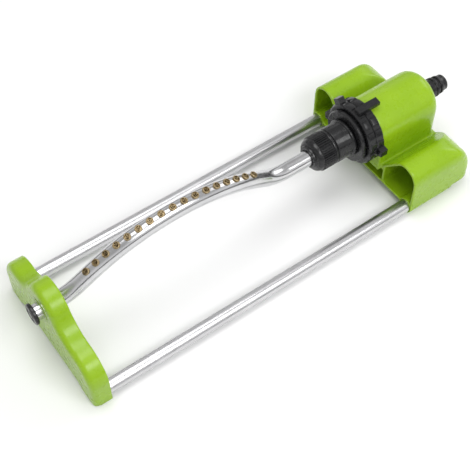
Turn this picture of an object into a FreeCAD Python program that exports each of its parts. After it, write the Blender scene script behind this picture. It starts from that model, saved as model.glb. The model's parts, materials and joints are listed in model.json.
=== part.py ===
import FreeCAD, Part
import Sketcher, math, os

# Oscillating lawn sprinkler: a curved spray tube swings about the X axis between
# an end cover and a water motor.  X runs along the rails towards the hose inlet,
# +Z is up, Z = 0 is the lawn, the origin is under the middle of the whole length.

V = FreeCAD.Vector
doc = FreeCAD.newDocument("oscillating_sprinkler")
sheet = doc.addObject("Spreadsheet::Sheet", "dims")

DIMS = [
    # general layout
    ("axis_height", 56.0), ("rest_tilt", 9.1),
    # rails
    ("rail_y", 61.6), ("rail_z", 7.4), ("rail_radius", 6.0), ("rail_wall", 1.0),
    ("rail_left", -198.0), ("rail_right", 168.0), ("socket_clear", 0.05),
    # end cover
    ("cover_left", -200.6), ("cover_depth", 16.3), ("cover_wall", 2.4),
    ("cover_half", 68.8), ("cover_hump", 21.7), ("cover_foot_top", 49.1),
    ("cover_corner", 24.0), ("cover_arch", 6.0),
    # motor housing
    ("house_left", 119.8), ("house_right", 189.0), ("house_half", 69.0),
    ("wing_top", 52.5), ("wing_outer_r", 14.7), ("wing_inner_r", 13.3),
    ("floor_low", 8.0), ("floor_thick", 2.0), ("house_wall", 2.5),
    ("barrel_r", 25.5), ("barrel_left", 117.8), ("barrel_right", 185.0), ("bore_right", 178.0),
    ("socket_r", 7.4), ("socket_right", 169.0),
    # spray tube
    ("tube_r", 7.0), ("tube_wall", 1.0), ("tube_left", -205.7), ("tube_right", 86.0),
    ("arc_centre_x", -78.0), ("arc_r", 135.0), ("arc_angle", 34.0),
    ("arc_height", 39.4), ("bend_r", 41.0), ("nozzle_count", 17.0),
    ("nozzle_pitch", 4.189), ("nozzle_shift", -1.54),
    # water motor
    ("case_r", 22.9), ("case_wall", 1.1), ("case_left", 118.0), ("case_right", 177.8),
    ("cap_r", 22.0), ("lip_r", 24.2), ("drum_r", 28.6), ("ring_clear", 0.08),
    ("neck_r", 10.0), ("bearing_clear", 0.05), ("sleeve_r", 16.0), ("knob_r", 16.0),
    ("knob_left", 57.0), ("knob_right", 78.8), ("bore_r", 5.0),
    ("gear_module", 0.5), ("gear_centres", 12.0), ("arbor_r", 1.0),
    ("lug_r", 33.4), ("lug_width", 7.6),
    ("nipple_right", 209.5), ("nipple_r", 8.4),
]
VAL = {}
for i, (alias, value) in enumerate(DIMS):
    r = i + 1
    sheet.set("A%d" % r, alias)
    sheet.set("B%d" % r, repr(value))
    sheet.setAlias("B%d" % r, alias)
    VAL[alias] = value
doc.recompute()


class Q:
    """A sheet value with its expression, so that a size is both a number and a binding."""
    def __init__(self, value, text):
        self.v, self.t = float(value), text

    @staticmethod
    def of(x):
        return x if isinstance(x, Q) else Q(x, "(%.6f)" % x)

    def __add__(self, o):
        o = Q.of(o); return Q(self.v + o.v, "(%s + %s)" % (self.t, o.t))
    __radd__ = __add__

    def __sub__(self, o):
        o = Q.of(o); return Q(self.v - o.v, "(%s - %s)" % (self.t, o.t))

    def __rsub__(self, o):
        return Q.of(o) - self

    def __mul__(self, o):
        o = Q.of(o); return Q(self.v * o.v, "(%s * %s)" % (self.t, o.t))
    __rmul__ = __mul__

    def __truediv__(self, o):
        o = Q.of(o); return Q(self.v / o.v, "(%s / %s)" % (self.t, o.t))

    def __neg__(self):
        return Q(-self.v, "(-1 * %s)" % self.t)


def d(alias):
    return Q(VAL[alias], "dims." + alias)


def num(x):
    return x.v if isinstance(x, Q) else float(x)


def bind(obj, prop, x):
    """Set a property, and bind it to the sheet when the size comes from there."""
    if isinstance(x, Q):
        obj.setExpression(prop, x.t)


EXPORT = []


def part_of(obj, label):
    obj.Label = label
    EXPORT.append(obj)
    return obj


def place(obj, x=0, y=0, z=0, rot=None):
    obj.Placement = FreeCAD.Placement(V(num(x), num(y), num(z)), rot or FreeCAD.Rotation())
    for n, q in (("x", x), ("y", y), ("z", z)):
        bind(obj, "Placement.Base." + n, q)


ALONG_X = FreeCAD.Rotation(V(0, 1, 0), 90)


def rod(name, x0, x1, radius, y=0, z=0):
    """A plain cylinder along X."""
    c = doc.addObject("Part::Cylinder", name)
    x0, x1, radius = Q.of(x0), Q.of(x1), Q.of(radius)
    c.Radius = radius.v; c.Height = (x1 - x0).v
    bind(c, "Radius", radius); bind(c, "Height", x1 - x0)
    place(c, x0, Q.of(y), Q.of(z), ALONG_X)
    return c


def cut(name, base, tools):
    for k, t in enumerate(tools):
        b = doc.addObject("Part::Cut", "%s_%d" % (name, k))
        b.Base, b.Tool = base, t
        base = b
    return base


def fuse(name, shapes):
    f = doc.addObject("Part::MultiFuse", name)
    f.Shapes = shapes
    f.Refine = True
    return f


def plane_of(body, role):
    return [f for f in body.Origin.OriginFeatures if f.Role == role][0]


def sketch(owner, name, points, role="YZ_Plane", offset=0, circles=()):
    """A closed outline.  points: (u, v) or (u, v, radius, side): the last two make the
    segment that leaves this point an arc, side +1 bulging to the left of travel."""
    sk = owner.newObject("Sketcher::SketchObject", name)
    sk.AttachmentSupport = [(plane_of(owner, role), "")]
    sk.MapMode = "FlatFace"
    off = Q.of(offset)
    sk.AttachmentOffset = FreeCAD.Placement(V(0, 0, off.v), FreeCAD.Rotation())
    if isinstance(offset, Q):
        sk.setExpression("AttachmentOffset.Base.z", off.t)
    outline(sk, points, circles)
    return sk


def outline(sk, points, circles=(), closed=True):
    n = len(points)
    base = len(sk.Geometry)
    last = n if closed else n - 1
    ends = []
    for i in range(last):
        p, q = points[i], points[(i + 1) % n]
        a = V(num(p[0]), num(p[1]), 0); b = V(num(q[0]), num(q[1]), 0)
        if len(p) > 2:
            rad, side = num(p[2]), p[3]
            mid = (a + b) * 0.5
            t = (b - a); half = t.Length / 2; t.normalize()
            left = V(-t.y, t.x, 0)
            hgt = math.sqrt(max(rad * rad - half * half, 0.0))
            c = mid - left * (side * hgt)
            sa = math.atan2(a.y - c.y, a.x - c.x); ea = math.atan2(b.y - c.y, b.x - c.x)
            circ = Part.Circle(c, V(0, 0, 1), rad)
            if side > 0:      # clockwise travel: the arc runs from b to a
                g = sk.addGeometry(Part.ArcOfCircle(circ, ea, sa if sa > ea else sa + 2 * math.pi), False)
                ends.append((g, 2, 1))
            else:
                g = sk.addGeometry(Part.ArcOfCircle(circ, sa, ea if ea > sa else ea + 2 * math.pi), False)
                ends.append((g, 1, 2))
            k = sk.addConstraint(Sketcher.Constraint("Radius", g, rad))
            if isinstance(p[2], Q):
                sk.setExpression("Constraints[%d]" % k, p[2].t)
        else:
            g = sk.addGeometry(Part.LineSegment(a, b), False)
            ends.append((g, 1, 2))
    for i in range(last if closed else last - 1):
        g, s, e = ends[i]; h, s2, e2 = ends[(i + 1) % last]
        sk.addConstraint(Sketcher.Constraint("Coincident", g, e, h, s2))

    def pin(g, which, kind, x):
        if abs(num(x)) < 1e-9:
            sk.addConstraint(Sketcher.Constraint("PointOnObject", g, which, -2 if kind == "DistanceX" else -1))
            return
        k = sk.addConstraint(Sketcher.Constraint(kind, -1, 1, g, which, num(x)))
        if isinstance(x, Q):
            sk.setExpression("Constraints[%d]" % k, x.t)
    for i in range(last):
        g, s, e = ends[i]
        pin(g, s, "DistanceX", points[i][0]); pin(g, s, "DistanceY", points[i][1])
    if not closed:
        g, s, e = ends[-1]
        pin(g, e, "DistanceX", points[-1][0]); pin(g, e, "DistanceY", points[-1][1])
    for (u, w, rad) in circles:
        g = sk.addGeometry(Part.Circle(V(num(u), num(w), 0), V(0, 0, 1), num(rad)), False)
        pin(g, 3, "DistanceX", u); pin(g, 3, "DistanceY", w)
        k = sk.addConstraint(Sketcher.Constraint("Radius", g, num(rad)))
        if isinstance(rad, Q):
            sk.setExpression("Constraints[%d]" % k, rad.t)


def feature(body, kind, name, sk, length, back=False):
    f = body.newObject("PartDesign::" + kind, name)
    f.Profile = sk
    f.Length = num(length)
    bind(f, "Length", length)
    if back:
        f.Reversed = True
    doc.recompute()
    return f


def turned(label, pts, z=None, angle=360):
    """A body of revolution about X: pts are (x, radius)."""
    body = doc.addObject("PartDesign::Body", label)
    sk = sketch(body, label + "_profile", pts, "XY_Plane")
    r = body.newObject("PartDesign::Revolution", label + "_turned")
    r.Profile = sk
    r.ReferenceAxis = (sk, ["H_Axis"])
    r.Angle = angle
    place(body, 0, 0, d("axis_height") if z is None else z)
    doc.recompute()
    return part_of(body, label)


def round_edges(body, base, name, radius, test):
    """Fillet the edges of base that pass the test on their points."""
    names = []
    for i, e in enumerate(base.Shape.Edges):
        a, b = e.ParameterRange
        if all(test(e.valueAt(a + (b - a) * t)) for t in (0.0, 0.25, 0.5, 0.75, 1.0)):
            names.append("Edge%d" % (i + 1))
    f = body.newObject("PartDesign::Fillet", name)
    f.Base = (base, names)
    f.Radius = radius
    doc.recompute()
    if not names or "Invalid" in f.State or "Error" in f.State or f.Shape.isNull() or not f.Shape.isValid():
        body.removeObject(f)
        doc.removeObject(f.Name)
        body.Tip = base
        doc.recompute()
        print("no fillet", name, len(names))
        return base
    return f


AX = d("axis_height")
S65, C65 = math.sin(math.radians(65)), math.cos(math.radians(65))
S48, C48 = math.sin(math.radians(48.8)), math.cos(math.radians(48.8))

# ---------------------------------------------------------------- end cover
cover = doc.addObject("PartDesign::Body", "end_cover")


def cover_outline(wall):
    w = wall
    hump = d("cover_hump") - w
    half = d("cover_half")
    corner_y = half - d("cover_corner")
    # the saddle arc leaves the hump at 65 degrees and lies level over the foot
    sad_y = corner_y
    y0 = d("cover_hump") * S65
    sad_r = (sad_y - y0) / S65 + w
    top = AX + d("cover_hump") * C65 - (sad_y - y0) / S65 * (1 - C65) - w
    y1 = hump * S65
    z1 = AX + hump * C65
    cr = d("cover_corner") - w
    out = corner_y + cr
    z2 = top - cr
    low = Q.of(0) + w
    arch = d("cover_arch") + w
    fi = Q.of(50.0) + w * 0.2
    ai = Q.of(42.0) + w * 0.4
    return [
        (-y1, z1, hump, 1), (y1, z1, sad_r, -1), (sad_y, top, cr, 1), (out, z2),
        (out, low), (fi, low), (ai, arch), (-ai, arch), (-fi, low), (-out, low),
        (-out, z2, cr, 1), (-sad_y, top, sad_r, -1),
    ]


sk = sketch(cover, "cover_shell_outline", cover_outline(Q.of(0.0)))
pad = feature(cover, "Pad", "cover_block", sk, d("cover_depth"))
blk = round_edges(cover, pad, "cover_outer_rounding", 5.0, lambda p: abs(p.x) < 1e-4 and p.z > 6.5 or (abs(p.x) < 1e-4 and abs(p.y) > 68.5))
sk = sketch(cover, "cover_cavity_outline", cover_outline(d("cover_wall")), offset=d("cover_depth"))
vol = cover.Shape.Volume
feature(cover, "Pocket", "cover_cavity", sk, d("cover_depth") - d("cover_wall"))
assert cover.Shape.Volume < vol * 0.6
sk = sketch(cover, "cover_bosses", [], circles=[(0, AX, 12.0), ], offset=0.5)
feature(cover, "Pad", "cover_bearing_boss", sk, 13.0)
sk = sketch(cover, "cover_sockets", [], circles=[(d("rail_y"), d("rail_z"), 7.0), (-d("rail_y"), d("rail_z"), 7.0)], offset=2.0)
feature(cover, "Pad", "cover_rail_sockets", sk, d("cover_depth") - 2.0)
# stiffening webs between the boss and the foot
sk = sketch(cover, "cover_web_a", [(-1.0, 8.0), (1.0, 8.0), (1.0, 46.0), (-1.0, 46.0)], offset=1.0)
feature(cover, "Pad", "cover_web_mid", sk, 9.0)
for s, nm in ((1, "far"), (-1, "near")):
    pts = [(s * 29.0, 8.0), (s * 31.0, 8.0), (s * 31.0, 47.0), (s * 29.0, 47.0)]
    sk = sketch(cover, "cover_web_" + nm, pts, offset=1.0)
    feature(cover, "Pad", "cover_web_%s_pad" % nm, sk, 9.0)
vol = cover.Shape.Volume
sk = sketch(cover, "cover_rail_holes", [], circles=[(d("rail_y"), d("rail_z"), d("rail_radius") + d("socket_clear")), (-d("rail_y"), d("rail_z"), d("rail_radius") + d("socket_clear"))], offset=d("cover_depth"))
feature(cover, "Pocket", "cover_rail_bores", sk, d("cover_depth") - d("cover_wall"))
sk = sketch(cover, "cover_pivot_hole", [], circles=[(0, AX, 9.0)], offset=d("cover_depth") + 5)
feature(cover, "Pocket", "cover_pivot_bore", sk, 40.0)
assert cover.Shape.Volume < vol - 3000
place(cover, d("cover_left"), 0, 0)
part_of(cover, "end_cover")

# ---------------------------------------------------------------- motor housing
house = doc.addObject("PartDesign::Body", "motor_housing")
L = d("house_right") - d("house_left")


def wing_outline():
    half, top = d("house_half"), d("wing_top")
    r2, r1 = d("wing_outer_r"), d("wing_inner_r")
    cy = half - r2
    y1 = cy - r1 * S48
    z1 = top - r1 * (1 - C48)
    yin = Q.of(22.0)
    zin = z1 - (y1 - yin) * (S48 / C48)
    return half, top, r1, r2, cy, y1, z1, yin, zin


half, top, r1, r2, cy, y1, z1, yin, zin = wing_outline()
fl = d("floor_low")
sk = sketch(house, "wings_outline", [
    (-half, fl), (-half, top - r2, r2, 1), (-cy, top, r1, 1), (-y1, z1), (-yin, zin),
    (yin, zin), (y1, z1, r1, 1), (cy, top, r2, 1), (half, top - r2), (half, fl)])
wings = feature(house, "Pad", "wings_block", sk, L)
# the crests roll over into the back in one wide quarter round
WR = Q.of(34.0)
REMOVE = [(L, top - WR, WR, -1), (L - WR, top + 0.02), (L - WR, top + 12.0), (L + 6.0, top + 12.0), (L + 6.0, top - WR)]
sk = sketch(house, "wing_lean_outline", REMOVE, "XZ_Plane", offset=Q.of(80.0))
vol = house.Shape.Volume
feature(house, "Pocket", "wing_lean", sk, 160.0)
print("wing lean removed", round(vol - house.Shape.Volume))
assert vol - house.Shape.Volume > 9000
for s_, nm in ((1, "far"), (-1, "near")):
    # rounded rear corner in plan
    y_ = half * s_
    sk = sketch(house, "wing_corner_%s_outline" % nm, [
        (L - 8.0, y_ + s_ * 6.0), (L - 8.0, y_, 8.0, 1 if s_ > 0 else -1), (L, y_ - s_ * 8.0), (L + 6.0, y_ - s_ * 8.0), (L + 6.0, y_ + s_ * 6.0)], "XY_Plane", offset=Q.of(90.0))
    vol = house.Shape.Volume
    feature(house, "Pocket", "wing_corner_" + nm, sk, 100.0)
    print("wing corner removed", nm, round(vol - house.Shape.Volume))
    assert house.Shape.Volume < vol - 200, nm
# central barrel over the water motor
b0 = d("barrel_left") - d("house_left")
sk = sketch(house, "barrel_outline", [
    (-d("barrel_r"), 21.0), (-d("barrel_r"), AX, d("barrel_r"), 1), (0, AX + d("barrel_r"), d("barrel_r"), 1),
    (d("barrel_r"), AX), (d("barrel_r"), 21.0)], offset=b0)
barrel_len = d("barrel_right") - d("barrel_left")
feature(house, "Pad", "barrel_block", sk, barrel_len)
# soft valleys between barrel and wings
vol = house.Shape.Volume
round_edges(house, house.Tip, "valley_rounding", 1.6,
            lambda p: abs(abs(p.y) - 25.5) < 1e-3 and 26.0 < p.z < 27.0)
print("valley rounding added", round(house.Shape.Volume - vol))
BR = Q.of(11.0)
bx, br = d("barrel_right") - d("house_left"), d("barrel_r")
sk = sketch(house, "barrel_rear_outline", [
    (bx - BR, br + 2.0), (bx - BR, br, BR, 1), (bx, br - BR), (bx + 2.0, br - BR), (bx + 2.0, br + 2.0)], "XY_Plane", offset=AX)
vol = house.Shape.Volume
g = house.newObject("PartDesign::Groove", "barrel_rear_rounding")
g.Profile = sk
g.ReferenceAxis = (sk, ["H_Axis"])
g.Angle = 180
doc.recompute()
# the groove has to run over the top half
cb = g.Shape.common(Part.makeBox(20, 60, 30, V(bx.v - 11, -30, AX.v))).Volume
g.Reversed = True
doc.recompute()
if g.Shape.common(Part.makeBox(20, 60, 30, V(bx.v - 11, -30, AX.v))).Volume > cb:
    g.Reversed = False
    doc.recompute()
assert house.Shape.Volume < vol - 300
for s_, nm in ((1, "far"), (-1, "near")):
    sk = sketch(house, "barrel_side_%s_outline" % nm, [
        (bx - BR, (br + 2.0) * s_), (bx - BR, br * s_, BR, 1 if s_ > 0 else -1), (bx, (br - BR) * s_), (bx + 2.0, (br - BR) * s_), (bx + 2.0, (br + 2.0) * s_)],
        "XY_Plane", offset=AX)
    vol = house.Shape.Volume
    f = feature(house, "Pocket", "barrel_side_" + nm, sk, 29.4)
    if house.Shape.Volume > vol - 50:
        f.Reversed = True
        doc.recompute()
    assert house.Shape.Volume < vol - 100, nm
# cavities, open to the front
w = d("house_wall")
ft = fl + d("floor_thick")
dy, dz = w * S48, w * C48
iy1, iz1 = y1 + dy, z1 - dz
rib = Q.of(31.3)
zr = iz1 - (iy1 - rib) * (S48 / C48)
for s, nm in ((1, "far"), (-1, "near")):
    pts = [(rib, ft), (rib, zr), (iy1, iz1, r1 - w, 1), (cy, top - w, r2 - w, 1), (half - w, top - r2), (half - w, ft)]
    if s < 0:
        pts = [(-half + w, ft), (-half + w, top - r2, r2 - w, 1), (-cy, top - w, r1 - w, 1), (-iy1, iz1), (-rib, zr), (-rib, ft)]
    sk = sketch(house, "cavity_%s_outline" % nm, pts, offset=0)
    vol = house.Shape.Volume
    feature(house, "Pocket", "cavity_" + nm, sk, L - 28.0, back=True)
    assert house.Shape.Volume < vol - 40000, nm
    a1 = half - w - 4.0
    low = [(rib, ft), (rib, 27.0), (39.0, 36.0), (a1, 36.0), (a1, ft)]
    if s < 0:
        low = [(-rib, ft), (-rib, 27.0), (-39.0, 36.0), (-a1, 36.0), (-a1, ft)]
    sk = sketch(house, "cavity_%s_low_outline" % nm, low, offset=0)
    vol = house.Shape.Volume
    feature(house, "Pocket", "cavity_%s_low" % nm, sk, L - 7.0, back=True)
    assert house.Shape.Volume < vol - 3000, nm
sk = sketch(house, "bay_outline", [
    (-28.8, ft), (-28.8, 26.0), (-25.0, 22.0), (-22.0, 27.0), (-12.0, 30.4),
    (12.0, 30.4), (22.0, 27.0), (25.0, 22.0), (28.8, 26.0), (28.8, ft)], offset=0)
vol = house.Shape.Volume
feature(house, "Pocket", "centre_bay", sk, L - 9.5, back=True)
assert house.Shape.Volume < vol - 20000
sk = sketch(house, "bore_outline", [], circles=[(0, AX, d("case_r") + 0.2)], offset=b0)
vol = house.Shape.Volume
feature(house, "Pocket", "motor_bore", sk, d("bore_right") - d("barrel_left"), back=True)
assert house.Shape.Volume < vol - 30000
sk = sketch(house, "inlet_outline", [], circles=[(0, AX, 7.2)], offset=b0)
feature(house, "Pocket", "inlet_hole", sk, barrel_len + 2, back=True)
sk = sketch(house, "socket_outline", [], circles=[(d("rail_y"), d("rail_z"), d("socket_r")), (-d("rail_y"), d("rail_z"), d("socket_r"))], offset=0)
feature(house, "Pad", "rail_sockets", sk, d("socket_right") - d("house_left"))
sk = sketch(house, "socket_bores", [], circles=[(d("rail_y"), d("rail_z"), d("rail_radius") + d("socket_clear")), (-d("rail_y"), d("rail_z"), d("rail_radius") + d("socket_clear"))], offset=0)
feature(house, "Pocket", "rail_bores", sk, d("rail_right") - d("house_left") + 0.2, back=True)
place(house, d("house_left"), 0, 0)
part_of(house, "motor_housing")

# ---------------------------------------------------------------- rails
for s, nm in ((-1, "rail_near"), (1, "rail_far")):
    o = rod(nm + "_outer", d("rail_left"), d("rail_right"), d("rail_radius"), d("rail_y") * s, d("rail_z"))
    i = rod(nm + "_bore", d("rail_left") - 1, d("rail_right") + 1, d("rail_radius") - d("rail_wall"), d("rail_y") * s, d("rail_z"))
    part_of(cut(nm, o, [i]), nm)

# ---------------------------------------------------------------- spray tube
TILT = FreeCAD.Rotation(V(1, 0, 0), VAL["rest_tilt"])
SA, CA = math.sin(math.radians(VAL["arc_angle"])), math.cos(math.radians(VAL["arc_angle"]))


def tube_path():
    c, R, h, rb = d("arc_centre_x"), d("arc_r"), d("arc_height"), d("bend_r")
    # crown arc, a short straight flank at the arc's end slope, then the reverse bend
    ax, az = R * SA, h - R * (1 - CA)
    bz = rb * (1 - CA)
    bx_ = ax + (az - bz) * (CA / SA)
    ex = bx_ + rb * SA
    return [
        (d("tube_left"), 0), (c - ex, 0, rb, -1), (c - bx_, bz), (c - ax, az, R, 1),
        (c + ax, az), (c + bx_, bz, rb, -1), (c + ex, 0), (d("tube_right"), 0)]


path = doc.addObject("Sketcher::SketchObject", "tube_path")
path.Placement = FreeCAD.Placement(V(0, 0, 0), FreeCAD.Rotation(V(1, 0, 0), 90))
outline(path, tube_path(), closed=False)
doc.recompute()
sections = []
for nm, rad in (("tube_section", d("tube_r")), ("tube_bore_section", d("tube_r") - d("tube_wall"))):
    c = doc.addObject("Sketcher::SketchObject", nm)
    c.Placement = FreeCAD.Placement(V(VAL["tube_left"], 0, 0), ALONG_X)
    c.setExpression("Placement.Base.x", "dims.tube_left")
    outline(c, [], circles=[(0, 0, rad)])
    s = doc.addObject("Part::Sweep", nm + "_sweep")
    s.Sections = [c]
    s.Spine = (path, [])
    s.Solid = True
    s.Frenet = False
    sections.append(s)
doc.recompute()
tube = doc.addObject("Part::Cut", "tube_blank")
tube.Base, tube.Tool = sections
doc.recompute()


def fan(name, make):
    """One copy per nozzle, square to the crown of the tube."""
    n, pitch = int(VAL["nozzle_count"]), VAL["nozzle_pitch"]
    cx, R, h = VAL["arc_centre_x"], VAL["arc_r"], VAL["arc_height"]
    out = []
    for k in range(n):
        a = (k - (n - 1) / 2) * pitch + VAL["nozzle_shift"]
        s = make(R + VAL["tube_r"])
        s.rotate(V(0, 0, 0), V(0, 1, 0), a)
        s.translate(V(cx, 0, h - R))
        out.append(s)
    f = doc.addObject("Part::Feature", name)
    f.Shape = Part.makeCompound(out)
    return f


holes = fan("tube_nozzle_holes", lambda z: Part.makeCylinder(1.55, 3.0, V(0, 0, z - 2.0)))
st = doc.addObject("Part::Cut", "spray_tube_cut")
st.Base, st.Tool = tube, holes
doc.recompute()
place(st, 0, 0, AX, TILT)
st.setExpression("Placement.Rotation.Angle", "dims.rest_tilt")
part_of(st, "spray_tube")


def nozzle(z):
    # brass jet: stem in the wall, domed head, fine bore
    pts = [V(0.5, 0, z - 1.6), V(1.5, 0, z - 1.6), V(1.5, 0, z + 0.12), V(3.0, 0, z + 0.12),
           V(3.1, 0, z + 0.7), V(2.4, 0, z + 1.35), V(1.0, 0, z + 1.6), V(0.5, 0, z + 1.6)]
    wire = Part.makePolygon(pts + [pts[0]])
    body = Part.Face(wire).revolve(V(0, 0, 0), V(0, 0, 1), 360)
    slot = Part.makeBox(0.7, 8, 1.0, V(-0.35, -4, z + 1.0))
    return body.cut(slot)


jets = fan("brass_nozzles_shape", nozzle)
place(jets, 0, 0, AX, TILT)
part_of(jets, "brass_nozzles")

# ---------------------------------------------------------------- free end of the tube
turned("tube_end_cap", [
    (-209.5, 0), (-209.5, 3.2), (-208.9, 3.8), (-208.9, 6.0), (-209.5, 6.8), (-209.2, 8.6), (-208.6, 9.2),
    (-206.6, 9.2), (-206.0, 8.6), (-206.0, 5.9), (-203.4, 5.9), (-203.4, 5.0), (-201.4, 5.0), (-201.4, 5.9),
    (-197.0, 5.9), (-196.4, 5.4), (-196.4, 1.05), (-204.0, 1.05), (-204.0, 0)])
turned("end_cap_seal", [(-203.3, 5.05), (-201.5, 5.05), (-201.5, 5.95), (-203.3, 5.95)])
turned("jet_cleaning_needle", [(-203.9, 0), (-203.9, 1.0), (-190.0, 1.0), (-189.0, 0.35), (-184.0, 0.35), (-184.0, 0)])
# bush that carries the tube in the end cover
turned("tube_bearing_bush", [
    (-200.9, 7.05), (-200.9, 8.7), (-200.6, 9.0), (-185.6, 9.0), (-185.6, 8.0),
    (-190.8, 8.0), (-191.6, 7.05)])
turned("bush_circlip", [(-187.0, 9.0), (-187.0, 11.5), (-186.0, 11.5), (-186.0, 9.0)])

# ---------------------------------------------------------------- output sleeve, nut and seal
turned("output_sleeve", [
    (66.0, 7.05), (66.0, 10.2), (66.8, 11.0), (79.2, 11.0), (79.2, 15.2), (80.0, 16.0), (93.6, 16.0),
    (94.4, 17.4), (96.4, 17.4), (96.9, 16.4), (96.9, 10.0), (121.6, 10.0), (121.6, 6.5), (126.6, 6.5), (126.6, 5.0),
    (88.0, 5.0), (88.0, 7.05)])
turned("tube_seal_ring", [(60.8, 7.05), (60.8, 10.2), (65.9, 10.2), (65.9, 7.05)])
turned("tube_end_gasket", [(86.05, 5.2), (86.05, 7.0), (87.95, 7.0), (87.95, 5.2)])

nut = doc.addObject("PartDesign::Body", "union_nut")
K0, K1, KR = d("knob_left"), d("knob_right"), d("knob_r")
sk = sketch(nut, "nut_profile", [
    (K0, 7.4), (K0, 10.6), (K0 + 0.9, 12.6), (K0 + 2.8, 13.9), (K0 + 3.8, 13.9), (K0 + 4.8, KR - 0.9), (K0 + 5.6, KR - 0.6),
    (K1 - 0.8, KR - 0.6), (K1, KR - 1.4), (K1, 11.4), (K0 + 3.4, 11.4), (K0 + 3.4, 7.4)], "XY_Plane")
r = nut.newObject("PartDesign::Revolution", "nut_turned")
r.Profile = sk
r.ReferenceAxis = (sk, ["H_Axis"])
r.Angle = 360
doc.recompute()
sk = sketch(nut, "nut_rib", [(-0.55, 14.9), (0.55, 14.9), (0.35, KR), (-0.35, KR)], offset=K0 + 5.4)
rp = feature(nut, "Pad", "nut_rib_pad", sk, K1 - K0 - 6.4)
pp = nut.newObject("PartDesign::PolarPattern", "nut_ribs")
pp.Originals = [rp]
pp.Axis = (plane_of(nut, "X_Axis"), [""])
pp.Angle = 360
pp.Occurrences = 40
nut.Tip = pp
place(nut, 0, 0, AX)
doc.recompute()
part_of(nut, "union_nut")

# ---------------------------------------------------------------- motor front: cap, rings and lever
fc = turned("motor_front_cap", [
    (97.4, 10.05), (97.4, 23.2), (98.4, 24.2), (100.6, 24.2), (101.2, 22.0), (117.7, 22.0), (117.7, 19.6),
    (101.6, 19.6), (101.6, 13.0), (110.0, 13.0), (110.0, 10.05)])
# four posts on the wall of the cap take the screws of the bearing plate
SCREWS = []
for a in (60, 120, 240, 300):
    SCREWS.append((a, 17.2 * math.sin(math.radians(a)), 17.2 * math.cos(math.radians(a))))
EXPORT.remove(fc)
fc.Label = "front_cap_blank"
posts = [rod("cap_post_%d" % a, 109.4, 118.25, 2.8, yy, AX + zz) for a, yy, zz in SCREWS]
cap_solid = fuse("front_cap_with_posts", [fc] + posts)
cap_solid = cut("front_cap_drilled", cap_solid, [rod("cap_post_hole_%d" % a, 110.4, 119.0, 1.22, yy, AX + zz) for a, yy, zz in SCREWS])
doc.recompute()
part_of(cap_solid, "motor_front_cap")
RC = d("ring_clear")


def stop_ring(label, x0, x1, lugs):
    """A friction ring on the cap with two lugs; lugs: (angle from +Z, x from, x to)."""
    body = doc.addObject("PartDesign::Body", label)
    rr, ro = d("cap_r") + RC, d("drum_r")
    sk = sketch(body, label + "_profile", [
        (x0, rr), (x0, ro - 1.6), (x0 + 1.2, ro - 0.4), (x0 + 1.7, ro), (x1 - 0.5, ro), (x1, ro - 0.5), (x1, rr)], "XY_Plane")
    r = body.newObject("PartDesign::Revolution", label + "_turned")
    r.Profile = sk
    r.ReferenceAxis = (sk, ["H_Axis"])
    r.Angle = 360
    doc.recompute()
    # finger flutes round the rim
    sk = sketch(body, label + "_flute", [(-2.6, ro + 0.6), (2.6, ro + 0.6), (1.7, ro - 0.9), (-1.7, ro - 0.9)], offset=Q.of(x0 - 1))
    po = feature(body, "Pocket", label + "_flute_cut", sk, (x1 - x0) + 2, back=True)
    pp = body.newObject("PartDesign::PolarPattern", label + "_flutes")
    pp.Originals = [po]
    pp.Axis = (plane_of(body, "X_Axis"), [""])
    pp.Angle = 360
    pp.Occurrences = 16
    body.Tip = pp
    doc.recompute()
    lw = d("lug_width")
    for k, (ang, a, b_) in enumerate(lugs):
        sk = sketch(body, "%s_lug%d" % (label, k), [(-lw / 2, ro - 1.5), (lw / 2, ro - 1.5), (lw / 2 - 0.6, d("lug_r")), (-(lw / 2 - 0.6), d("lug_r"))], offset=0)
        sk.AttachmentOffset = FreeCAD.Placement(V(0, 0, a), FreeCAD.Rotation(V(0, 0, 1), -ang))
        feature(body, "Pad", "%s_lug%d_pad" % (label, k), sk, b_ - a)
    place(body, 0, 0, AX)
    doc.recompute()
    return part_of(body, label)


stop_ring("adjuster_ring_front", 101.9, 109.3, [(42, 102.4, 109.0), (98, 102.4, 109.0)])
stop_ring("adjuster_ring_rear", 109.7, 117.3, [(-8, 110.2, 117.0), (-92, 110.2, 117.0)])
# the long indicator finger of the rear ring reaches back over the barrel and forward over the front ring
rear = EXPORT[-1]
sk = sketch(rear, "rear_long_finger", [(-3.6, 29.7), (3.6, 29.7), (3.2, d("lug_r")), (-3.2, d("lug_r"))], offset=0)
sk.AttachmentOffset = FreeCAD.Placement(V(0, 0, 103.4), FreeCAD.Rotation(V(0, 0, 1), 8))
feature(rear, "Pad", "rear_long_finger_pad", sk, 22.4)

lever = doc.addObject("PartDesign::Body", "reversing_lever")
sk = sketch(lever, "lever_profile", [(102.4, 13.06), (102.4, 15.0), (108.6, 15.0), (108.6, 13.06)], "XY_Plane")
r = lever.newObject("PartDesign::Revolution", "lever_hub")
r.Profile = sk
r.ReferenceAxis = (sk, ["H_Axis"])
r.Angle = 360
doc.recompute()
sk = sketch(lever, "lever_arm", [(-2.2, 14.2), (2.2, 14.2), (1.4, 19.0), (-1.4, 19.0)], offset=103.0)
feature(lever, "Pad", "lever_arm_pad", sk, 5.0)
sk = sketch(lever, "lever_fork", [(-1.4, -14.2), (1.4, -14.2), (1.0, -18.0), (-1.0, -18.0)], offset=103.0)
feature(lever, "Pad", "lever_fork_pad", sk, 5.0)
place(lever, 0, 0, AX)
doc.recompute()
part_of(lever, "reversing_lever")

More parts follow.
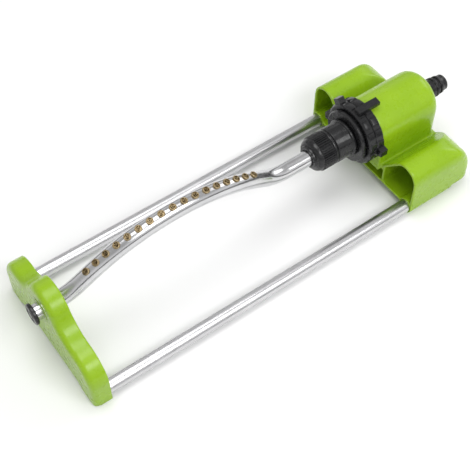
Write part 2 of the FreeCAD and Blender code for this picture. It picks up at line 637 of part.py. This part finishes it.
# ---------------------------------------------------------------- motor case and inner works
CR, CW = d("case_r"), d("case_wall")
PR = CR - CW - 0.1      # plates inside the case
turned("motor_case", [
    (118.0, CR - CW), (118.0, CR), (d("case_right"), CR), (d("case_right"), 7.0), (199.0, 7.0), (199.0, 5.0), (176.2, 5.0), (176.2, CR - CW)])
bp = turned("bearing_plate", [(118.3, 10.3), (118.3, PR), (121.3, PR), (121.3, 10.3)])
# arbor for the lay gears: fixed between bearing plate and bulkhead
layz = AX - d("gear_centres")


def drilled(label, base, drills, z=None):
    EXPORT.remove(base)
    base.Label = label + "_blank"
    o = cut(label + "_drilled", base, drills)
    doc.recompute()
    return part_of(o, label)


screws = []
tools = []
for a, yy, zz in SCREWS:
    tools.append(rod("plate_hole_%d" % a, 117.0, 122.0, 1.3, yy, AX + zz))
    shank = rod("plate_screw_%d" % a, 111.0, 121.3, 1.2, yy, AX + zz)
    head = rod("plate_screw_head_%d" % a, 121.3, 122.6, 2.3, yy, AX + zz)
    screws.append(fuse("plate_screw_solid_%d" % a, [shank, head]))
tools.append(rod("plate_lay_hole", 117.0, 122.0, d("arbor_r"), 0, layz))
drilled("bearing_plate", bp, tools)
grp = doc.addObject("Part::Compound", "plate_screws_group")
grp.Links = screws
part_of(grp, "plate_screws")

bh = turned("gearbox_bulkhead", [(145.0, 2.3), (145.0, PR), (148.0, PR), (148.0, 2.3)])
drilled("gearbox_bulkhead", bh, [rod("bulkhead_lay_hole", 144.0, 149.0, d("arbor_r"), 0, layz)])
part_of(rod("lay_arbor", 118.4, 147.8, d("arbor_r"), 0, layz), "lay_arbor")
part_of(rod("main_arbor", 127.4, 171.6, d("arbor_r"), 0, AX), "main_arbor")


def gear_face(teeth, bore, phase, x0):
    """Clock-type gear outline in the YZ plane, axis along X."""
    m = VAL["gear_module"]
    rp_ = m * teeth / 2
    ra, rf = rp_ + 0.80 * m, rp_ - 1.25 * m
    p = 2 * math.pi / teeth
    th_tip, th_pit, th_root = 0.12 * p, 0.215 * p, 0.30 * p
    pts = []
    for k in range(teeth):
        c = k * p + phase
        for r_, t_ in ((rf, -th_root), (rp_, -th_pit), (ra, -th_tip), (ra, th_tip), (rp_, th_pit), (rf, th_root)):
            a = c + t_
            pts.append(V(x0, r_ * math.sin(a), r_ * math.cos(a)))
    wire = Part.makePolygon(pts + [pts[0]])
    face = Part.Face(wire)
    return face.cut(Part.Face(Part.Wire(Part.makeCircle(bore, V(x0, 0, 0), V(1, 0, 0)))))


def gear_solid(teeth, bore, x0, x1, phase):
    return gear_face(teeth, bore, phase, x0).extrude(V(x1 - x0, 0, 0))


def tube_solid(x0, x1, ro, ri):
    return Part.makeCylinder(ro, x1 - x0, V(x0, 0, 0), V(1, 0, 0)).cut(Part.makeCylinder(ri, x1 - x0, V(x0, 0, 0), V(1, 0, 0)))


def inner(label, shapes, z):
    s = shapes[0]
    for t in shapes[1:]:
        s = s.fuse(t)
    s = s.removeSplitter()
    f = doc.addObject("Part::Feature", label + "_shape")
    f.Shape = s
    place(f, 0, 0, z)
    return part_of(f, label)


G = VAL["arbor_r"] + 0.05
P12, P36 = 2 * math.pi / 12, 2 * math.pi / 36
# a tooth of each pinion points at the gap of its wheel on the line of centres
inner("output_gear", [gear_solid(36, 6.5, 123.2, 125.8, 0)], AX)                     # on the sleeve, tooth pointing down at the lay axis
inner("gear_stage_three", [gear_solid(12, G, 122.9, 127.9, P12 / 2), gear_solid(36, G, 128.0, 130.4, P36 / 2), tube_solid(127.8, 131.4, 2.3, G)], layz)
inner("gear_stage_two", [gear_solid(12, G, 127.9, 132.4, 0), gear_solid(36, G, 132.5, 134.9, 0), tube_solid(132.3, 136.0, 2.0, G)], AX)
inner("gear_stage_one", [gear_solid(12, G, 132.1, 136.9, P12 / 2), gear_solid(36, G, 137.0, 139.8, P36 / 2), tube_solid(136.8, 144.0, 2.0, G)], layz)

# turbine wheel: pinion, sleeve shaft, hub and curved blades
blades = []
for k in range(10):
    bl = Part.makeBox(9.0, 1.2, 12.5, V(151.0, -0.6, 4.0))
    bl.rotate(V(155.5, 0, 8.0), V(0, 0, 1), 28)
    bl.rotate(V(0, 0, 0), V(1, 0, 0), 36 * k)
    blades.append(bl)
turb = [tube_solid(136.8, 167.6, 1.95, G), gear_solid(12, G, 136.9, 140.6, 0), tube_solid(150.5, 161.0, 5.0, 1.5)] + blades
inner("turbine_wheel", turb, AX)
hs = turned("jet_plate", [(169.0, 1.0), (169.0, PR), (172.0, PR), (172.0, 1.0)])
jt = []
for k in range(6):
    a = math.radians(60 * k)
    j = doc.addObject("Part::Cylinder", "jet_slot_%d" % k)
    j.Radius = 1.5
    j.Height = 12
    # each jet leans round the ring so that the water turns the wheel
    rot = FreeCAD.Rotation(V(1, 0, 0), -60 * k) * FreeCAD.Rotation(V(0, 0, 1), 40) * ALONG_X
    p0 = FreeCAD.Rotation(V(1, 0, 0), -60 * k).multVec(V(170.5 - 4.6, -3.9, 12.0))
    j.Placement = FreeCAD.Placement(V(p0.x, p0.y, p0.z + VAL["axis_height"]), rot)
    j.setExpression("Placement.Base.z", "%.6f + dims.axis_height" % p0.z)
    jt.append(j)
drilled("jet_plate", hs, jt)

# inlet: filter basket, nipple and washer
ft_ = turned("inlet_filter", [
    (182.0, 0), (182.0, 4.4), (196.0, 4.4), (196.0, 4.9), (198.6, 4.9), (198.6, 3.4), (183.0, 3.4), (183.0, 0)])
fh = []
for k in range(8):
    c = doc.addObject("Part::Box", "filter_slot_%d" % k)
    c.Length, c.Width, c.Height = 10.0, 0.9, 3.0
    rot = FreeCAD.Rotation(V(1, 0, 0), 45 * k)
    p0 = rot.multVec(V(184.5, -0.45, 2.5))
    c.Placement = FreeCAD.Placement(V(p0.x, p0.y, p0.z + VAL["axis_height"]), rot)
    fh.append(c)
drilled("inlet_filter", ft_, fh)
turned("inlet_nipple", [
    (186.1, 7.05), (186.1, 9.4), (186.6, 9.9), (189.4, 9.9), (189.9, 9.4), (189.9, 8.2), (196.2, 8.2), (196.2, 9.0), (198.6, 9.0),
    (198.6, 7.3), (201.6, 7.3), (201.6, 8.4), (203.4, 8.4), (204.6, 7.5), (206.6, 7.5),
    (208.6, 7.4), (209.5, 6.6), (209.5, 5.0), (199.1, 5.0), (199.1, 7.05)])
turned("inlet_washer", [(185.1, 7.05), (185.1, 9.6), (186.0, 9.6), (186.0, 7.05)])

# ---------------------------------------------------------------- checks and export
doc.recompute()
bad = [o.Name for o in doc.Objects if any(s in ("Invalid", "Error") for s in o.State)]
if bad:
    raise RuntimeError("failed objects: " + ", ".join(bad))
os.makedirs("parts", exist_ok=True)
for o in EXPORT:
    s = o.Shape
    if s.isNull() or not s.isValid():
        raise RuntimeError("bad shape: " + o.Label)
    if not s.Solids:
        raise RuntimeError("no solid: " + o.Label)
for o in EXPORT:
    o.Shape.exportStep("parts/%s.step" % o.Label)
    bb = o.Shape.BoundBox
    print("%-22s solids %2d  vol %9.1f  x %.1f..%.1f  y %.1f..%.1f  z %.1f..%.1f" % (
        o.Label, len(o.Shape.Solids), o.Shape.Volume, bb.XMin, bb.XMax, bb.YMin, bb.YMax, bb.ZMin, bb.ZMax))
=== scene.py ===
import bpy, bmesh, math, json, random
import numpy as np
from mathutils import Vector, Matrix


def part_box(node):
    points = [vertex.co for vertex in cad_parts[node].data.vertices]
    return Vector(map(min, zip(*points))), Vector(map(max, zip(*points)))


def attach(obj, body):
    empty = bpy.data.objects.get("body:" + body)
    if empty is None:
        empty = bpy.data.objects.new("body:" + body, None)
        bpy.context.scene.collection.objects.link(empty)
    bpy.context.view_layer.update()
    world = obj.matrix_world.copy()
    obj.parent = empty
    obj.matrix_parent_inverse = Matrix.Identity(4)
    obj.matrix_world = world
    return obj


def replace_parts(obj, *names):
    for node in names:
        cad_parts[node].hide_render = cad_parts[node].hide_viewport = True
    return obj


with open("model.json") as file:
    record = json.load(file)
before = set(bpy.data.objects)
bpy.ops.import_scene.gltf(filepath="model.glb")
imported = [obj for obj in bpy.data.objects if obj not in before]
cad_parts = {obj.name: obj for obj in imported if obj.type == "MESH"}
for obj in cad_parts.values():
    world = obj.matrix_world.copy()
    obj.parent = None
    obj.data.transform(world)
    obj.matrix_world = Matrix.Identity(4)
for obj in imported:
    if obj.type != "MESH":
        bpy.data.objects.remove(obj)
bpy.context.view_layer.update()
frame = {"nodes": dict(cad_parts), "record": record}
NODES = frame["nodes"]
random.seed(7)
MM = 0.001


# ------------------------------------------------------------------ node helpers
class Mat:
    """A material with a principled shader and short helpers for its texture nodes."""
    def __init__(self, name):
        self.m = bpy.data.materials.new(name)
        self.m.use_nodes = True
        self.t = self.m.node_tree
        self.t.nodes.clear()
        self.out = self.t.nodes.new("ShaderNodeOutputMaterial")
        self.p = self.t.nodes.new("ShaderNodeBsdfPrincipled")
        self.t.links.new(self.p.outputs[0], self.out.inputs[0])
        self.co = self.t.nodes.new("ShaderNodeTexCoord")

    def set(self, **k):
        for n, v in k.items():
            self.p.inputs[n.replace("_", " ")].default_value = v

    def link(self, a, b):
        self.t.links.new(a, b)

    def mapping(self, scale):
        n = self.t.nodes.new("ShaderNodeMapping")
        n.inputs["Scale"].default_value = scale
        self.link(self.co.outputs["Object"], n.inputs["Vector"])
        return n.outputs[0]

    def noise(self, scale, detail=3.0, rough=0.5, vec=None):
        n = self.t.nodes.new("ShaderNodeTexNoise")
        n.inputs["Scale"].default_value = scale
        n.inputs["Detail"].default_value = detail
        n.inputs["Roughness"].default_value = rough
        self.link(vec if vec is not None else self.co.outputs["Object"], n.inputs["Vector"])
        return n.outputs["Fac"]

    def span(self, fac, lo, hi, f0=0.3, f1=0.7):
        n = self.t.nodes.new("ShaderNodeMapRange")
        n.inputs["From Min"].default_value = f0
        n.inputs["From Max"].default_value = f1
        n.inputs["To Min"].default_value = lo
        n.inputs["To Max"].default_value = hi
        self.link(fac, n.inputs["Value"])
        return n.outputs[0]

    def ramp(self, fac, stops):
        n = self.t.nodes.new("ShaderNodeValToRGB")
        e = n.color_ramp.elements
        while len(e) < len(stops):
            e.new(0.5)
        for i, (pos, col) in enumerate(stops):
            e[i].position = pos
            e[i].color = (*col, 1.0)
        self.link(fac, n.inputs[0])
        return n.outputs[0]

    def bump(self, height, strength, distance, normal=None):
        n = self.t.nodes.new("ShaderNodeBump")
        n.inputs["Strength"].default_value = strength
        n.inputs["Distance"].default_value = distance
        self.link(height, n.inputs["Height"])
        if normal is not None:
            self.link(normal, n.inputs["Normal"])
        return n.outputs[0]


def green_plastic():
    a = Mat("green_plastic")
    a.link(a.ramp(a.noise(34, 2.0), [(0.25, (0.242, 0.420, 0.006)), (0.75, (0.280, 0.465, 0.010))]), a.p.inputs["Base Color"])
    a.link(a.span(a.noise(150, 3.0), 0.24, 0.33), a.p.inputs["Roughness"])
    n = a.bump(a.noise(22, 1.0), 0.025, 0.0012)             # slow sink of the moulding
    n = a.bump(a.noise(620, 1.0), 0.02, 0.00012, n)       # fine mould skin
    a.link(n, a.p.inputs["Normal"])
    a.set(IOR=1.42, Coat_Weight=0.12, Coat_Roughness=0.10)
    return a.m


def black_plastic():
    a = Mat("black_plastic")
    a.link(a.ramp(a.noise(60, 3.0), [(0.3, (0.0070, 0.0070, 0.0078)), (0.7, (0.0115, 0.0115, 0.0126))]), a.p.inputs["Base Color"])
    a.link(a.span(a.noise(260, 3.0), 0.22, 0.34), a.p.inputs["Roughness"])
    n = a.bump(a.noise(900, 2.0), 0.025, 0.00012)
    a.link(n, a.p.inputs["Normal"])
    a.set(IOR=1.43, Coat_Weight=0.12, Coat_Roughness=0.09)
    return a.m


def drawn_aluminium(name, lo, hi, stretch):
    a = Mat(name)
    v = a.mapping(stretch)
    lines = a.noise(1.0, 1.0, 0.5, v)
    a.link(a.ramp(a.noise(45, 3.0), [(0.3, (0.60, 0.60, 0.61)), (0.7, (0.68, 0.68, 0.69))]), a.p.inputs["Base Color"])
    a.link(a.span(lines, lo, hi), a.p.inputs["Roughness"])
    n = a.bump(lines, 0.02, 0.00008)                        # draw lines along the tube
    n = a.bump(a.noise(30, 1.0), 0.02, 0.0005, n)
    a.link(n, a.p.inputs["Normal"])
    a.set(Metallic=1.0)
    return a.m


def brass():
    a = Mat("brass")
    a.link(a.ramp(a.noise(900, 4.0, 0.6), [(0.25, (0.15, 0.105, 0.055)), (0.55, (0.37, 0.285, 0.160)), (0.85, (0.56, 0.465, 0.310))]), a.p.inputs["Base Color"])
    a.link(a.span(a.noise(900, 3.0), 0.26, 0.44), a.p.inputs["Roughness"])
    a.link(a.bump(a.noise(1400, 2.0), 0.10, 0.0001), a.p.inputs["Normal"])
    a.set(Metallic=1.0)
    return a.m


def simple(name, c0, c1, r0, r1, metallic=0.0, grain=1800, strength=0.1):
    a = Mat(name)
    a.link(a.ramp(a.noise(120, 3.0), [(0.3, c0), (0.7, c1)]), a.p.inputs["Base Color"])
    a.link(a.span(a.noise(420, 3.0), r0, r1), a.p.inputs["Roughness"])
    a.link(a.bump(a.noise(grain, 3.0), strength, 0.0001), a.p.inputs["Normal"])
    a.set(Metallic=metallic)
    return a.m


M = {
    "green_plastic": green_plastic(),
    "black_plastic": black_plastic(),
    "rail_aluminium": drawn_aluminium("rail_aluminium", 0.25, 0.33, (2, 500, 500)),
    "tube_aluminium": drawn_aluminium("tube_aluminium", 0.15, 0.23, (3, 450, 450)),
    "brass": brass(),
    "rubber": simple("rubber", (0.016, 0.016, 0.016), (0.03, 0.03, 0.03), 0.6, 0.8),
    "steel": simple("steel", (0.50, 0.50, 0.50), (0.62, 0.62, 0.62), 0.22, 0.36, 1.0),
    "white_plastic": simple("white_plastic", (0.74, 0.74, 0.70), (0.82, 0.82, 0.79), 0.35, 0.5),
}
SLOT = {s["node"]: s["material_slot"] for s in frame["record"]["subparts"]}


def dress(obj, key):
    obj.data.materials.clear()
    obj.data.materials.append(M[key])


# ------------------------------------------------------------------ CAD nodes that show as they are
EDGE = {"adjuster_ring_front": 0.35, "adjuster_ring_rear": 0.35, "motor_front_cap": 0.3,
        "output_sleeve": 0.3, "tube_end_cap": 0.2, "inlet_nipple": 0.25, "tube_bearing_bush": 0.2}
for name, o in NODES.items():
    dress(o, SLOT[name])
    if name in EDGE:
        w = o.modifiers.new("weld", "WELD")
        w.merge_threshold = 2e-6
        m = o.modifiers.new("flat", "DECIMATE")
        m.decimate_type = "DISSOLVE"
        m.angle_limit = math.radians(0.25)
        b = o.modifiers.new("edge", "BEVEL")
        b.width = EDGE[name] * MM
        b.segments = 3
        b.limit_method = "ANGLE"
        b.angle_limit = math.radians(38)
        b.use_clamp_overlap = True
        b.harden_normals = True


def new_mesh(name, bm, key, body, smooth=35):
    me = bpy.data.meshes.new(name)
    bmesh.ops.recalc_face_normals(bm, faces=bm.faces)
    bm.to_mesh(me)
    bm.free()
    o = bpy.data.objects.new(name, me)
    bpy.context.scene.collection.objects.link(o)
    me.materials.append(M[key])
    for p in me.polygons:
        p.use_smooth = True
    me.set_sharp_from_angle(angle=math.radians(smooth))
    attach(o, body)
    return o


def lathe(bm, prof, seg, mat=Matrix(), shape=None, closed=False):
    """Turns (radius, height) points about Z. shape(k, i, r, h) may change a point's radius and height."""
    rings = []
    for i, (r, h) in enumerate(prof):
        if r < 1e-9:
            rings.append([bm.verts.new(mat @ Vector((0, 0, h)))])
            continue
        ring = []
        for k in range(seg):
            rr, hh = shape(k, i, r, h) if shape else (r, h)
            a = 2 * math.pi * k / seg
            ring.append(bm.verts.new(mat @ Vector((rr * math.cos(a), rr * math.sin(a), hh))))
        rings.append(ring)
    pairs = list(zip(rings, rings[1:]))
    if closed:
        pairs.append((rings[-1], rings[0]))
    for a, b in pairs:
        if len(a) == 1 and len(b) == 1:
            continue
        for k in range(seg):
            j = (k + 1) % seg
            if len(a) == 1:
                bm.faces.new((a[0], b[k], b[j]))
            elif len(b) == 1:
                bm.faces.new((a[k], a[j], b[0]))
            else:
                bm.faces.new((a[k], a[j], b[j], b[k]))


# ------------------------------------------------------------------ moulded green skins
def skin(name, voxel, passes, form=None):
    """The CAD node's own surface, remeshed evenly, its edges softened as a mould leaves them."""
    o = bpy.data.objects.new(name + "_moulded", NODES[name].data.copy())
    bpy.context.scene.collection.objects.link(o)
    w = o.modifiers.new("weld", "WELD")
    w.merge_threshold = 5e-6
    r = o.modifiers.new("even", "REMESH")
    r.mode = "VOXEL"
    r.voxel_size = voxel * MM
    bpy.context.view_layer.update()
    me = bpy.data.meshes.new_from_object(o.evaluated_get(bpy.context.evaluated_depsgraph_get()))
    o.modifiers.clear()
    o.data = me
    n = len(me.vertices)
    co = np.empty(n * 3)
    me.vertices.foreach_get("co", co)
    co = co.reshape(n, 3)
    ed = np.empty(len(me.edges) * 2, dtype=np.int64)
    me.edges.foreach_get("vertices", ed)
    ed = ed.reshape(-1, 2)
    deg = np.bincount(ed.ravel(), minlength=n).astype(float)

    def relax(p, f):
        s = np.zeros_like(p)
        for k in range(3):
            s[:, k] = np.bincount(ed[:, 0], weights=p[ed[:, 1], k], minlength=n) + np.bincount(ed[:, 1], weights=p[ed[:, 0], k], minlength=n)
        return p + f * (s / deg[:, None] - p)

    for i in range(passes):
        co = relax(co, 0.5)
        co = relax(co, -0.42)
    if form:
        co = form(co)
        co = relax(relax(co, 0.4), 0.4)
    me.vertices.foreach_set("co", co.ravel())
    me.materials.clear()
    me.materials.append(M["green_plastic"])
    me.polygons.foreach_set("use_smooth", [True] * len(me.polygons))
    me.update()
    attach(o, "frame")
    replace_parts(o, name)
    return o


H_LO, H_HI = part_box("motor_housing")


def round_wings(co):
    """Rounds the edge where each wing's roll-over at the back meets its crest and side wall."""
    K, RR, RO, RC = 8.5, 34.0, 14.7, 8.0
    p = co / MM
    x, y, z = p[:, 0], np.abs(p[:, 1]), p[:, 2]
    back, side, top = H_HI.x / MM, H_HI.y / MM, 52.5
    dx, dz = np.maximum(x - (back - RR), 0), np.maximum(z - (top - RR), 0)
    r1 = np.maximum(np.hypot(dx, dz), 1e-6)
    f1 = r1 - RR
    n1 = np.stack([dx / r1, np.zeros_like(x), dz / r1], 1)
    dy, dt = np.maximum(y - (side - RO), 0), np.maximum(z - (top - RO), 0)
    r2 = np.maximum(np.hypot(dy, dt), 1e-6)
    f2 = r2 - RO
    n2 = np.stack([np.zeros_like(x), dy / r2 * np.sign(p[:, 1]), dt / r2], 1)
    c = (n1 * n2).sum(1)
    s2 = np.maximum(1 - c * c, 1e-4)
    a = ((f1 + K) - (f2 + K) * c) / s2
    b = ((f2 + K) - (f1 + K) * c) / s2
    # on the outside of a wing only
    f3 = np.where(x > back - RC, np.hypot(np.maximum(x - (back - RC), 0), np.maximum(y - (side - RC), 0)) - RC, -9.0)
    on = (np.maximum(np.maximum(f1, f2), f3) > -0.8) & (y > 45.0) & (dx > 0) & (z > 12.0) & (a > 0) & (b > 0) & (s2 > 0.004)
    v = n1 * a[:, None] + n2 * b[:, None]
    ln = np.maximum(np.linalg.norm(v, axis=1), 1e-6)
    over = np.where(on, np.maximum(ln - K, 0), 0)
    over = np.minimum(over, 4.5)
    return (p - v / ln[:, None] * over[:, None]) * MM


skin("motor_housing", 1.0, 6, round_wings)
skin("end_cover", 0.8, 6)

# ------------------------------------------------------------------ brass jets
AXIS_Z = (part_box("motor_case")[0].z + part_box("motor_case")[1].z) / 2
TILT = Matrix.Rotation(math.radians(9.1), 4, "X")
TUBE_R, ARC_R, ARC_H, ARC_CX = 7.0, 135.0, 39.4, -78.0
jets = bmesh.new()
SEG = 36


def jet_shape(k, i, r, h):
    """Keeps each point's radius and height as given, turned into metres; the three webs across the recess are built as
    separate blocks below.
    """
    return r * MM, h * MM


for n in range(17):
    ang = math.radians((n - 8) * 4.189 - 1.54)
    base = Matrix.Translation((ARC_CX * MM, 0, (ARC_H - ARC_R) * MM)) @ Matrix.Rotation(ang, 4, "Y") @ Matrix.Translation((0, 0, (ARC_R + TUBE_R) * MM))
    spin = Matrix.Rotation(random.uniform(0, 2.1), 4, "Z")
    m = Matrix.Translation((0, 0, AXIS_Z)) @ TILT @ base @ spin
    # flange, rounded rim, recess, centre boss and bore
    prof = [(1.5, -1.2), (1.5, 0.05), (2.95, 0.05), (3.12, 0.22), (3.14, 0.70), (3.00, 1.10), (2.70, 1.38), (2.35, 1.44), (2.12, 1.34),
            (2.06, 1.10), (2.02, -0.55), (1.10, -0.60), (1.02, -0.45), (1.00, 1.26), (0.90, 1.40), (0.64, 1.42), (0.55, 1.34), (0.52, -1.2)]
    lathe(jets, prof, SEG, m, jet_shape, closed=True)
    for w in range(3):
        c = m @ Matrix.Rotation(2 * math.pi * w / 3, 4, "Z")
        vs = [jets.verts.new(c @ (Vector(p) * MM)) for p in (
            (0.8, -0.34, 0.5), (2.2, -0.34, 0.5), (2.2, 0.34, 0.5), (0.8, 0.34, 0.5),
            (0.8, -0.26, 1.12), (2.2, -0.26, 1.20), (2.2, 0.26, 1.20), (0.8, 0.26, 1.12))]
        for q in ((0, 3, 2, 1), (4, 5, 6, 7), (0, 1, 5, 4), (1, 2, 6, 5), (2, 3, 7, 6), (3, 0, 4, 7)):
            jets.faces.new([vs[j] for j in q])
jet_obj = new_mesh("jets", jets, "brass", "sprayer", 40)
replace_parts(jet_obj, "brass_nozzles")

# ------------------------------------------------------------------ union nut: stepped nose, domed shoulder, fine ribs, plain skirt
NUT_LO, NUT_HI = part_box("union_nut")
X0, X1 = NUT_LO.x / MM, NUT_HI.x / MM
NR = (NUT_HI.z - NUT_LO.z) / 2 / MM
RIBS, PER = 48, 8
RIB_H = [0.0, 0.0, 0.0, 0.80, 1.0, 1.0, 1.0, 0.80]
band = {}
prof = [(7.45, X0 + 0.7), (7.7, X0 + 0.15), (8.2, X0 + 0.02), (9.7, X0 + 0.02), (10.3, X0 + 0.22), (10.55, X0 + 0.75), (10.6, X0 + 1.5),
        (10.75, X0 + 1.75), (11.6, X0 + 1.8), (12.6, X0 + 2.1), (13.5, X0 + 2.75), (14.2, X0 + 3.7), (14.7, X0 + 4.8), (14.95, X0 + 5.6), (15.0, X0 + 6.2)]
i0 = len(prof)
for h in (6.7, 7.3, 9.0, 12.0, 15.0, 17.2, 18.2, 18.7):
    prof.append((14.7, X0 + h))
    band[len(prof) - 1] = 1.25 if 7.0 < h < 18.5 else 0.5
prof += [(15.0, X0 + 19.0), (15.25, X0 + 19.3), (15.7, X0 + 19.5), (15.85, X0 + 19.9), (15.85, X1 - 0.5), (15.6, X1 - 0.12), (15.1, X1 - 0.02),
         (11.9, X1 - 0.02), (11.5, X1 - 0.4), (11.5, X0 + 3.5), (7.45, X0 + 3.5)]


def nut_shape(k, i, r, h):
    return (min(r + band.get(i, 0.0) * RIB_H[k % PER], NR - 0.02) * MM, h * MM)


bm = bmesh.new()
lathe(bm, prof, RIBS * PER, Matrix.Translation((0, 0, AXIS_Z)) @ Matrix.Rotation(math.radians(90), 4, "Y"), nut_shape, closed=True)
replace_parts(new_mesh("union_nut_ribbed", bm, "black_plastic", "nut", 42), "union_nut")

# ------------------------------------------------------------------ rails: drawn tube with even rings along its length
for name in ("rail_near", "rail_far"):
    lo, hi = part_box(name)
    cy, cz, ro = (lo.y + hi.y) / 2, (lo.z + hi.z) / 2, (hi.z - lo.z) / 2 / MM
    a, b = lo.x / MM, hi.x / MM
    outer = [(ro, a + 0.3 + (b - a - 0.6) * i / 60.0) for i in range(61)]
    prof = [(ro - 1.0, a), (ro - 0.3, a)] + outer + [(ro - 0.3, b), (ro - 1.0, b)]
    bm = bmesh.new()
    lathe(bm, prof, 72, Matrix.Translation((0, cy, cz)) @ Matrix.Rotation(math.radians(90), 4, "Y"), lambda k, i, r, h: (r * MM, h * MM), closed=True)
    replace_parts(new_mesh(name + "_drawn", bm, "rail_aluminium", "frame", 40), name)

# ------------------------------------------------------------------ floor, light and camera
bm = bmesh.new()
bmesh.ops.create_grid(bm, x_segments=8, y_segments=8, size=3.0)
me = bpy.data.meshes.new("floor")
bm.to_mesh(me)
bm.free()
floor = bpy.data.objects.new("floor", me)
bpy.context.scene.collection.objects.link(floor)
fa = Mat("floor_paper")
fa.link(fa.ramp(fa.noise(3, 2.0), [(0.3, (0.86, 0.86, 0.86)), (0.7, (0.88, 0.88, 0.88))]), fa.p.inputs["Base Color"])
fa.set(Roughness=0.9)
me.materials.append(fa.m)
floor.location = (0, 0, -0.0002)


def area(name, loc, target, size, power, size_y=None):
    l = bpy.data.lights.new(name, "AREA")
    l.energy = power
    l.size = size
    if size_y:
        l.shape = "RECTANGLE"
        l.size_y = size_y
    o = bpy.data.objects.new(name, l)
    bpy.context.scene.collection.objects.link(o)
    o.location = loc
    o.rotation_mode = "QUATERNION"
    o.rotation_quaternion = (Vector(target) - Vector(loc)).to_track_quat("-Z", "Y")
    return o


area("softbox_front", (0.15, -1.25, 1.45), (0, 0, 0.03), 1.3, 15.5, 0.7)
area("softbox_top", (-0.15, 0.25, 1.9), (0, 0, 0.03), 1.2, 13, 1.0)
area("softbox_right", (1.5, 0.1, 1.0), (0, 0, 0.03), 0.9, 5, 0.9)

world = bpy.data.worlds.new("studio")
bpy.context.scene.world = world
world.use_nodes = True
wt = world.node_tree
wt.nodes.clear()
wo = wt.nodes.new("ShaderNodeOutputWorld")
bg = wt.nodes.new("ShaderNodeBackground")
tc = wt.nodes.new("ShaderNodeTexCoord")
sx = wt.nodes.new("ShaderNodeSeparateXYZ")
cr = wt.nodes.new("ShaderNodeValToRGB")
wt.links.new(tc.outputs["Generated"], sx.inputs[0])
wt.links.new(sx.outputs["Z"], cr.inputs[0])
wt.links.new(cr.outputs[0], bg.inputs[0])
wt.links.new(bg.outputs[0], wo.inputs[0])
e = cr.color_ramp.elements
stops = [(0.0, 0.06), (0.12, 0.04), (0.19, 0.85), (0.42, 0.80), (0.62, 0.46), (0.86, 0.50), (1.0, 0.85)]
while len(e) < len(stops):
    e.new(0.5)
for i, (p, c) in enumerate(stops):
    e[i].position = p
    e[i].color = (c, c, c, 1)
bg.inputs[1].default_value = 1.0

cam_data = bpy.data.cameras.new("camera")
cam = bpy.data.objects.new("camera", cam_data)
bpy.context.scene.collection.objects.link(cam)
bpy.context.scene.camera = cam
PITCH, YAW, ROLL = math.radians(54.53), math.radians(35.23), math.radians(-0.28)
fwd = Vector((math.sin(YAW) * math.cos(PITCH), math.cos(YAW) * math.cos(PITCH), -math.sin(PITCH)))
right = Vector((math.cos(YAW), -math.sin(YAW), 0))
up = right.cross(fwd)
r2 = right * math.cos(ROLL) + up * math.sin(ROLL)
u2 = up * math.cos(ROLL) - right * math.sin(ROLL)
mat = Matrix((r2, u2, -fwd)).transposed().to_4x4()
mat.translation = Vector((-0.31955, -0.42608, 0.7376))
cam.matrix_world = mat
cam_data.sensor_width = 36
cam_data.lens = 79.96
cam_data.clip_start = 0.01
cam_data.dof.use_dof = False
bpy.context.scene.view_settings.view_transform = "Standard"
